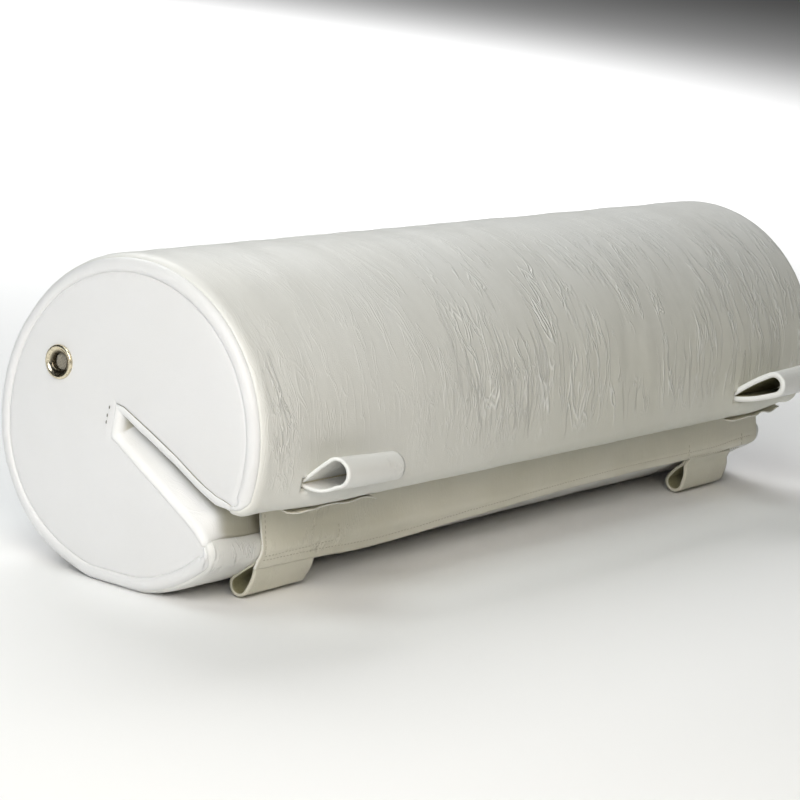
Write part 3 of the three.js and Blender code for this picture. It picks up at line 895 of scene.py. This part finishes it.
for side_name, side in SIDES.items():
    pad, near = end_panel(side, f"end_pad_{side_name}")
    if pad.data.polygons[0].normal.x * side < 0:
        turn_over(pad)
    swell(pad, side, near)
    finish_panel(pad, cover_thickness)
    vent_hole(pad, side_name, eyelet_bore)
    on_roller(pad, f"end_panel_{side_name}", fill=0.95)

# %% [markdown]
# ## The foam
# The foam fills the cover. It is one ring of points round the section, just inside the cover, drawn
# along the roller and closed at both ends. Each end has a bore behind its eyelet.

# %% Foam
def foam_block():
    under_cover = 2.2 * MM
    run = slot["run"]
    outer_v = np.linspace(0, outer_end, 150)
    slot_v = np.sort(np.concatenate([np.linspace(3 * MM, run[-1] - 3 * MM, 48), run[1:3]]))
    ring = len(outer_v) + len(slot_v)
    columns = 61
    piece, column, row = flat_sheet("foam_block", columns, ring + 1)
    share = np.sin(np.linspace(-1, 1, columns) * math.pi / 2)[column]
    co = np.zeros((len(row), 3))
    place = row % ring
    first = 0
    for track, track_v, give_way in ((outer, outer_v, lip_shift), (slot, slot_v, slot_closing)):
        mine = (place >= first) & (place < first + len(track_v))
        v = track_v[place[mine] - first]
        edge = at(track, v, "edges")
        t = share[mine] * (half - edge + edge * math.pi / 2)
        co[mine] = skin(track, t, v, np.full(len(v), -under_cover), give_way(t, v))
        first += len(track_v)
    set_places(piece, co)
    with editing(piece):
        bpy.ops.mesh.remove_doubles(threshold=0.001 * MM)
        bpy.ops.mesh.select_all(action="DESELECT")
        bpy.ops.mesh.select_non_manifold(extend=False)
        bpy.ops.mesh.fill_holes(sides=0)
        bpy.ops.mesh.select_all(action="SELECT")
        bpy.ops.mesh.quads_convert_to_tris()
        bpy.ops.mesh.normals_make_consistent(inside=False)
    for side_name in SIDES:
        vent_hole(piece, side_name, foam_bore)
    give(piece, foam)
    print("foam_block", len(piece.data.polygons), "faces")
    return piece


on_roller(foam_block(), "foam_core", material="foam")

# %% [markdown]
# ## The closing flap
# The flap is a strip of vinyl sewn inside the slot to its upper wall. It turns down over the slot's
# mouth and lies over the lower lip. One sheet follows this path. Its lower edge isn't quite straight,
# and its lower right corner is rounded.

# %% The flap's path and outline
hinge = fold_point("flap_hinge")
flap_low, flap_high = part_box("closing_flap")
flap_thickness = 1.6 * MM
flap_round = lip_radius + 3.5 * MM
fold_radius = 1.5 * MM
hem_seam = 6.5 * MM
edge_seam = 4 * MM


def flap_path():
    _, into, wall_angle = slot_wall(1)
    turn_in = hinge + into * fold_radius
    sewn = turn_in - polar(wall_angle) * 21 * MM
    centre = lower_lip[0]
    to_lip = centre - hinge
    aim = math.atan2(to_lip[1], to_lip[0]) + 2 * math.pi
    aim -= math.asin(flap_round / np.linalg.norm(to_lip))
    fold = np.linspace(wall_angle - math.pi / 2 - math.pi, aim - math.pi / 2 - 2 * math.pi, 9)
    fold_points = hinge + polar(fold, fold_radius)
    bend_points = centre + polar(np.linspace(aim - math.pi / 2, math.radians(205), 24), flap_round)
    tail = bend_points[-1] + np.outer(np.linspace(1, 13, 5) * MM, polar(math.radians(292)))
    straight = np.linspace(sewn, turn_in, 8)[:-1]
    hang = np.linspace(fold_points[-1], bend_points[0], 12)[1:-1]
    return np.concatenate([straight, [turn_in], fold_points[4:], hang, bend_points, tail])


def path_track(points):
    tangent = np.gradient(points, axis=0)
    tangent /= np.linalg.norm(tangent, axis=1)[:, None]
    normal = np.stack([tangent[:, 1], -tangent[:, 0]], -1)
    return make_track(points, -normal, normal, np.zeros(len(points)))


flap_track = path_track(flap_path())
flap_run = flap_track["run"]
print("flap, from its sewn edge to its hem:", round(flap_run[-1], 4), "m")


def flap_length(x):
    """The hem sags a little near the left loop and runs up towards the right."""
    sag = 3.6 * MM * hump(x, -0.195, 0.065)
    return flap_run[-1] - 4.5 * MM + sag - 8.5 * MM * rises(x, -150, 280) - 3 * MM * rises(x, 260, 60)


def flap_end(x):
    corner = np.clip(1 - (flap_high.x - x) / (16 * MM), 0, 1)
    return flap_length(x) - 6 * MM * (1 - np.sqrt(1 - corner**2))


def height_on_flap(z):
    """How far down the flap a height over the axis lies."""
    past_fold = flap_run > 24 * MM
    return float(np.interp(-z, -flap_track["points"][past_fold, 1], flap_run[past_fold]))


boxes = [(-half + 52 * MM, -half + 131 * MM), (half - 136 * MM, half - 52 * MM)]
box_top = height_on_flap(-62 * MM)
box_foot = height_on_flap(-76 * MM)


# %% Flap
def flap_lift(x, v):
    """Soft waves, boxes raised over the loops' patches, and a groove along each row of stitches."""
    out = np.clip((v - 35 * MM) / (30 * MM), 0, 1)
    lift = out * (wrinkles(x, v, 21, 70, 50, 1.3) + wrinkles(x, v, 22, 16, 30, 0.35))
    from_seams = [np.abs(flap_length(x) - v - hem_seam), np.abs(x - flap_low.x - edge_seam)]
    for low, high in boxes:
        inside = np.minimum(x - low, high - x)
        from_seams.append(np.where(inside > -1 * MM, np.abs(v - box_foot), 1))
        inside = np.minimum(inside, np.minimum(v - box_top, box_foot - v))
        lift = lift + 0.35 * MM * rises(inside, 0, 5)
    return lift - out * 0.45 * MM * np.clip(1 - np.min(from_seams, axis=0) / (2 * MM), 0, 1)


def on_flap(x, v, above=0.0):
    return in_space(x, off_track(flap_track, v, "outward", flap_lift(x, v) + above))


def flap_sheet():
    columns, rows = 420, 60
    piece, column, row = flat_sheet("flap_sheet", columns, rows)
    x = np.linspace(flap_low.x, flap_high.x, columns)[column]
    v = flap_end(x) * (row / (rows - 1))
    ragged = smooth_noise(np.stack([v, x * 0, x * 0], -1), 9 * MM, 25) * 0.8 * MM
    x = x + ragged * np.clip(1 - (x - flap_low.x) / (6 * MM), 0, 1)
    lay(piece, on_flap(x, v), x, v, flap_vinyl_painted_shade, cut_edge,
        creased=0.12 + 0.2 * hump(x, 0.27, 0.05), crinkled=0.10 + 0.45 * hump(x, -0.27, 0.07))
    finish_panel(piece, flap_thickness, to_front, rim=1)
    return piece


flap = flap_sheet()
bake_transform(flap)
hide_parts("closing_flap", "flap_anchor")

# %% [markdown]
# ## Loops
# Each loop is a strip of vinyl folded back on itself, with both ends sewn into one seam. Seen from its
# end it is a drop. The strip is a narrow sheet that follows this drop, thick enough to show its cut
# edge, and it leans and sags a little from one end to the other.

# %% Loop strips
upper_fold = fold_point("upper_loop_l_fold")
lower_fold = fold_point("lower_loop_l_fold")
into_slit = -polar(math.atan2(upper_fold[1], upper_fold[0])) * 3.4 * MM
behind_hem = polar(math.radians(115)) * 8 * MM


def drop_path(share, upper, aim, reach, radius, bellies):
    """A loop's section, by the share of the way from its left end. Aim and radius change on the way."""
    root, apart, tail = (upper_fold, 2.0, into_slit) if upper else (lower_fold, 1.3, behind_hem)
    aim = math.radians(aim[0] + aim[1] * share)
    radius = radius[0] + radius[1] * share
    half_angle = math.asin(radius / reach) + math.pi / 2
    arc = np.linspace(aim - half_angle, aim + half_angle, 26)
    round_end = root + polar(aim, reach * MM) + polar(arc, radius * MM)
    s = np.linspace(0, 1, 12)[:, None]
    legs = []
    for side, end, belly in zip((-1, 1), round_end[[0, -1]], bellies):
        away = polar(aim + side * math.pi / 2)
        start = root + away * apart * MM
        leg = start * (1 - s) + end * s + away * np.sin(np.pi * s) * belly * MM
        legs.append(np.concatenate([start + np.outer([1, 0.66, 0.33], tail), leg]))
    return np.concatenate([legs[0][:-1], round_end, legs[1][::-1][1:]])


def loop_strip(name, span, thickness, flare, seed, finishes, **drop):
    columns, rows = 30, 72
    piece, column, row = flat_sheet(name, columns, rows)
    co = np.zeros((len(column), 3))
    cloth_v = np.zeros(len(column))
    for i, x in enumerate(np.linspace(*span, columns)):
        share = i / (columns - 1)
        track = path_track(drop_path(share, **drop))
        total = track["run"][-1]
        mine = column == i
        v = total * row[mine] / (rows - 1)
        lift = wrinkles(np.full(v.shape, x), v, seed, 20, 20, 0.5)
        wider = smooth_step(1.7 * np.sin(np.pi * v / total)) - 0.4 * hump(v, total / 2, 7 * MM)
        co[mine] = in_space(x + flare * MM * share * wider, off_track(track, v, "outward", lift))
        cloth_v[mine] = v
    lay(piece, co, co[:, 0], cloth_v, *finishes, crinkled=0.4)
    outward = polar(math.radians(drop["aim"][0] + drop["aim"][1] / 2))
    finish_panel(piece, thickness * MM, lambda place: (0, *outward), rim=1, back=2, offset=0)
    print(name, "strip", round(total, 4), "m long")
    return piece, total


def x_span(cad_node):
    low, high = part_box(cad_node)
    return low.x, high.x


# Lengths are in millimetres. Each loop is shorter than its strip in the frame at its right end.
# The lower loops' darker vinyl and greyer edges, and the dark insides of three loops, are painted shade.
loop_shapes = {
    "upper_loop_left": dict(
        aim=(153, 5), reach=28, radius=(9.2, -0.8), bellies=(0.2, 2.6), thickness=2.2, flare=0,
        seed=31, shorter=left_loop_short, finishes=(white_vinyl, white_edge, white_vinyl)),
    "upper_loop_right": dict(
        aim=(154, -1.5), reach=37, radius=(8.0, 0.4), bellies=(1.0, 1.2), thickness=4.2, flare=0,
        seed=32, shorter=0, finishes=(white_vinyl, white_edge, backing_and_painted_shade)),
    "lower_loop_left": dict(
        aim=(-55, 0), reach=19.2, radius=(6.6, -0.6), bellies=(1.0, 0.2), thickness=2.0, flare=3,
        seed=33, shorter=10 * MM, finishes=(loop_vinyl_painted_shade, loop_edge_painted_shade, backing_and_painted_shade)),
    "lower_loop_right": dict(
        aim=(-66.5, 0), reach=16.4, radius=(7.0, -1.0), bellies=(1.0, 0.8), thickness=2.4, flare=2,
        seed=34, shorter=6 * MM, finishes=(loop_vinyl_painted_shade, loop_edge_painted_shade, backing_and_painted_shade)),
}
for node_name, shape in loop_shapes.items():
    upper = node_name.startswith("upper")
    low, high = x_span(node_name)
    high -= shape.pop("shorter")
    strip, total = loop_strip(node_name + "_strip", (low, high), upper=upper, **shape)
    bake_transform(strip)
    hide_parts(node_name, *([node_name.replace("upper_loop", "loop_tail")] if upper else []))

# %% [markdown]
# ## Patches
# A thin patch lies under the upper lip below each upper loop and takes up its pull. Its lower edge is
# cut by hand and stands off a little. On the flap's back, another patch carries each lower loop.

# %% Patches
def patch_sheet(name, x_range, columns, rows):
    """A patch's flat sheet, with the x of its points and their share of the way from row to row."""
    piece, column, row = flat_sheet(name, columns, rows)
    return piece, np.linspace(*x_range, columns)[column], row / (rows - 1)


def sew_on(piece, body, node_name, facing):
    finish_panel(piece, patch_thickness, facing, rim=1)
    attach(piece, body)
    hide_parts(node_name)


def lip_patch(side_name, x_range, seed):
    piece, x, down = patch_sheet(f"lip_patch_cloth_{side_name}", x_range, 110, 18)
    along = np.stack([x, x * 0, x * 0], -1)
    sewn = outer_end - 0.8 * MM
    free = outer_end - 9.2 * MM + smooth_noise(along, 16 * MM, seed) * 2.4 * MM
    share = 1 - down
    v = sewn + (free - sewn) * share
    lift = (0.9 + share**1.5 * (3.4 + 3.2 * smooth_noise(along, 19 * MM, seed + 1))) * MM
    lay(piece, skin(outer, x, v, lift, lip_shift(x, v)), x, v, patch_vinyl_painted_shade, cut_edge, crinkled=0.15)
    sew_on(piece, "roller", f"lip_patch_{side_name}", out_of_axis)


def back_patch(side_name):
    x_range = x_span(f"flap_patch_{side_name}")
    piece, x, down = patch_sheet(f"back_patch_{side_name}", x_range, 40, 16)
    v = np.minimum(flap_length(x) + (-22 + 22.5 * down) * MM, flap_run[-1])
    lay(piece, on_flap(x, v, -flap_thickness - 0.3 * MM), x, v, flap_vinyl_painted_shade, cut_edge)
    sew_on(piece, "flap", f"flap_patch_{side_name}", to_front)


lip_patch("left", (-half + 47 * MM, -half + 141 * MM), 41)
lip_patch("right", (half - 113 * MM, half - 24 * MM), 43)
for side_name in SIDES:
    back_patch(side_name)

# %% [markdown]
# ## Stitches
# The hem, the flap's left edge, and the foot and the sides of the two boxes that hold the loops'
# patches are sewn with a straight stitch. One stitch is a short fat capsule, sunk halfway into the
# cloth. It is copied along each row. Three dark tacks hold the cover behind the slot's blind end.

# %% Stitches
stitch_pitch = 3.6 * MM


def one_stitch():
    bpy.ops.mesh.primitive_uv_sphere_add(segments=8, ring_count=6, radius=1)
    stitch = new_piece("stitch")
    bpy.ops.transform.resize(value=(1.25 * MM, 0.38 * MM, 0.36 * MM))
    bpy.ops.object.transform_apply(location=False, rotation=False, scale=True)
    shade_smooth(stitch)
    give(stitch, sewing_thread)
    return stitch


def copied(piece, matrix):
    copy = piece.copy()
    copy.data = piece.data.copy()
    copy.matrix_world = matrix
    scene.collection.objects.link(copy)
    return copy


def sewn_row(stitch, points, out, wobble):
    run = run_along(points)
    made = []
    for i in range(int(run[-1] / stitch_pitch)):
        s = (i + 0.5) * stitch_pitch
        place = Vector(interpolated(s, run, points))
        along = (Vector(interpolated(s + MM, run, points)) - place).normalized()
        side = Vector(interpolated(s, run, out)).cross(along).normalized()
        turn = Matrix((along, side, along.cross(side))).transposed().to_4x4()
        slip = noise.noise(Vector((s * 400, wobble, 0))) * 0.25 * MM
        made.append(copied(stitch, Matrix.Translation(place + side * slip) @ turn))
    return made


def join_all(name, parts):
    bpy.ops.object.select_all(action="DESELECT")
    for part in parts:
        part.select_set(True)
    bpy.context.view_layer.objects.active = parts[0]
    bpy.ops.object.join()
    joined = new_piece(name)
    bpy.ops.object.transform_apply(location=True, rotation=True, scale=True)
    print(name, len(parts), "parts,", len(joined.data.polygons), "faces")
    return joined


def flap_row(stitch, x, v, wobble):
    x, v = np.broadcast_arrays(np.atleast_1d(x), np.atleast_1d(v))
    out = at(flap_track, v, "outward")
    out = np.stack([out[:, 0] * 0, out[:, 0], out[:, 1]], -1)
    return sewn_row(stitch, on_flap(x, v, 0.1 * MM), out, wobble)


stitch = one_stitch()
hem_x = np.linspace(flap_low.x + edge_seam, flap_high.x - 9 * MM, 300)
stitches = flap_row(stitch, hem_x, flap_length(hem_x) - hem_seam, 1)
edge_v = np.linspace(39 * MM, flap_length(flap_low.x) - 7 * MM, 40)
stitches += flap_row(stitch, flap_low.x + edge_seam, edge_v, 2)
for low, high in boxes:
    down = np.linspace(box_top + 2 * MM, box_foot, 20)
    for row_x, row_v in ((np.linspace(low, high, 60), box_foot), (low, down), (high, down)):
        stitches += flap_row(stitch, row_x, row_v, 3)
flap_stitches = join_all("flap_stitches", stitches)
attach(flap_stitches, "flap")

upright = Matrix.Rotation(math.pi / 2, 4, "Y")
tacks = []
for y, z in ((14.0, 9.2), (15.2, 3.6), (15.6, -0.9)):
    tack_place = (-half - 1.6 * MM, y * MM, z * MM + axis_z)
    tacks.append(copied(stitch, Matrix.Translation(tack_place) @ upright))
slot_tacks = join_all("slot_tacks", tacks)
give(slot_tacks, dark_thread)
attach(slot_tacks, "roller")
bpy.data.objects.remove(stitch)

# %% [markdown]
# ## Vent eyelets
# A two-part eyelet is pressed through each end panel, so that air can leave the foam. Its flange is
# rolled over, and its throat is a short tube. Here its profile is extruded point by point from a
# single vertex and spun round the axis, as it would be turned. The screen is a weave of fine wires.

# %% Vent eyelets
# The eyelet's profile in millimetres: how far from its axis, and how far out.
profile = [(11.45, 0.2), (11.5, 1.0), (11.1, 1.8), (10.4, 2.2), (9.6, 2.1), (8.9, 1.6), (8.3, 1.0),
           (7.5, 0.75), (6.8, 0.5), (6.2, 0.0), (6.0, -1.0), (6.0, -7.5), (6.7, -7.5), (6.7, -0.6),
           (11.45, 0.2)]
weave_reach = 5.8 * MM
wire_pitch = 0.95 * MM
wire_radius = 0.17 * MM


def seat(piece, side, side_name, out, finish):
    """Puts an eyelet's part on the roller's end, out from the end panel by this much."""
    centre = eyelet_centre(side_name)
    set_places(piece, places(piece) + [side * (half + out), centre.y, centre.z])
    shade_smooth(piece)
    give(piece, finish)
    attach(piece, "roller")


def vent_eyelet(side, side_name):
    bpy.ops.mesh.primitive_plane_add(size=MM)
    piece = new_piece(f"eyelet_{side_name}")
    with editing(piece):
        bpy.ops.mesh.merge(type="CENTER")
        bpy.ops.transform.translate(value=(profile[0][1] * MM, 0, profile[0][0] * MM))
        for (r0, out0), (r1, out1) in zip(profile, profile[1:]):
            step = ((out1 - out0) * MM, 0, (r1 - r0) * MM)
            bpy.ops.mesh.extrude_region_move(TRANSFORM_OT_translate={"value": step})
        bpy.ops.mesh.select_all(action="SELECT")
        bpy.ops.mesh.spin(steps=72, angle=2 * math.pi, center=(0, 0, 0), axis=(1, 0, 0))
        bpy.ops.mesh.select_all(action="SELECT")
        bpy.ops.mesh.remove_doubles(threshold=0.01 * MM)
        bpy.ops.mesh.normals_make_consistent(inside=False)
        if side < 0:
            bpy.ops.mesh.flip_normals()
    co = places(piece)
    radius = np.hypot(co[:, 1], co[:, 2])
    mark(piece, "stained", np.clip((8.6 * MM - radius) / (1.6 * MM), 0, 0.95))
    co[:, 0] *= side
    set_places(piece, co)
    seat(piece, side, side_name, 0.9 * MM, plated_brass)
    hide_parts(f"vent_eyelet_{side_name}")


def wire(length, offset, across, phase):
    """A wavy wire. Only the long edges of a cylinder are cut, so it bends in even steps."""
    bpy.ops.mesh.primitive_cylinder_add(vertices=6, radius=wire_radius, depth=length,
                                        end_fill_type="NGON", rotation=(math.pi / 2, 0, 0))
    piece = new_piece()
    bpy.ops.object.transform_apply(location=False, rotation=True, scale=False)
    with editing(piece):
        bpy.ops.mesh.select_mode(type="EDGE")
        bpy.ops.mesh.select_all(action="DESELECT")
    for edge in piece.data.edges:
        a, b = (piece.data.vertices[i].co for i in edge.vertices)
        edge.select = abs(a.y - b.y) > length / 2
    bpy.ops.object.mode_set(mode="EDIT")
    bpy.ops.mesh.subdivide(number_cuts=max(int(length / (0.3 * MM)), 4))
    bpy.ops.mesh.select_mode(type="VERT")
    bpy.ops.object.mode_set(mode="OBJECT")
    x, y, z = places(piece).T
    x = x + 0.2 * MM * np.cos(math.pi * y / wire_pitch + phase)
    set_places(piece, np.stack([x, y, z + offset] if across else [x, z + offset, y], -1))
    return piece


def vent_weave(side, side_name):
    wires = []
    for across in (True, False):
        for i in range(-5, 6):
            offset = i * wire_pitch
            length = 2 * math.sqrt(weave_reach**2 - offset**2)
            wires.append(wire(length, offset, across, math.pi * (i + (0 if across else 1))))
    piece = join_all(f"vent_weave_{side_name}", wires)
    seat(piece, side, side_name, -2.2 * MM, screen_wire)
    with editing(piece):
        bpy.ops.mesh.normals_make_consistent(inside=False)


for side_name, side in SIDES.items():
    vent_eyelet(side, side_name)
    vent_weave(side, side_name)

# %% [markdown]
# ## Pieces that stay as they are
# The washers behind the end panels and the discs behind the screens have their right shape already.
# They only get their finish, and the discs' dark finish is painted shade of the pocket behind each screen.

# %% Finishes on the plain pieces
for side_name in SIDES:
    for node_name, finish in (("vent_washer", plated_brass), ("vent_screen", screen_disc_painted_shade)):
        for material_slot in frame["nodes"][f"{node_name}_{side_name}"].material_slots:
            material_slot.material = finish

# %% [markdown]
# ## Floor, light and background
# The roller stands on a plain pale floor under soft studio light. A broad cool lamp and a smaller warm
# one stand at the left, near the camera, and light the end panel and the near half, so the light falls
# off towards the right. A weak lamp hangs above. Two more brighten the floor behind the roller.

# %% Floor and lamps
bpy.ops.mesh.primitive_plane_add(size=40)
floor = new_piece("floor")
floor_paint, _, paint = new_finish("floor_paint")
paint["Base Color"].default_value = (0.93, 0.93, 0.93, 1)
paint["Roughness"].default_value = 0.9
give(floor, floor_paint)


def lamp(name, place, aim, size, power, tint=(1, 1, 1), spread=180):
    data = bpy.data.lights.new(name, "AREA")
    data.shape = "RECTANGLE"
    data.size = data.size_y = size
    data.energy = power
    data.color = tint
    data.spread = math.radians(spread)
    light = bpy.data.objects.new(name, data)
    light.location = place
    light.rotation_euler = (Vector(aim) - Vector(place)).to_track_quat("-Z", "Y").to_euler()
    scene.collection.objects.link(light)


lamp("key", (-1.29, -0.93, 0.92), (-0.3, 0, 0.12), 0.9, 10, (1, 0.89, 0.72))
lamp("wide", (-2.5, -0.9, 1.5), (-0.3, 0, 0.12), 1.6, 36, (0.87, 0.92, 1))
lamp("top", (-0.9, -0.1, 2.4), (-0.3, 0, 0.1), 1.2, 15, (0.93, 1, 0.98))
lamp("behind", (1.7, 2.2, 2.6), (1.7, 2.2, 0), 2.5, 96)
lamp("backdrop", (1.9, 2.6, 2.4), (1.9, 2.6, 0), 2.5, 45, spread=80)
world = bpy.data.worlds.new("studio")
world.use_nodes = True
background = world.node_tree.nodes["Background"].inputs
background["Color"].default_value = (1.0, 0.98, 0.92, 1)
background["Strength"].default_value = 0.02
scene.world = world
scene.view_settings.view_transform = "Standard"
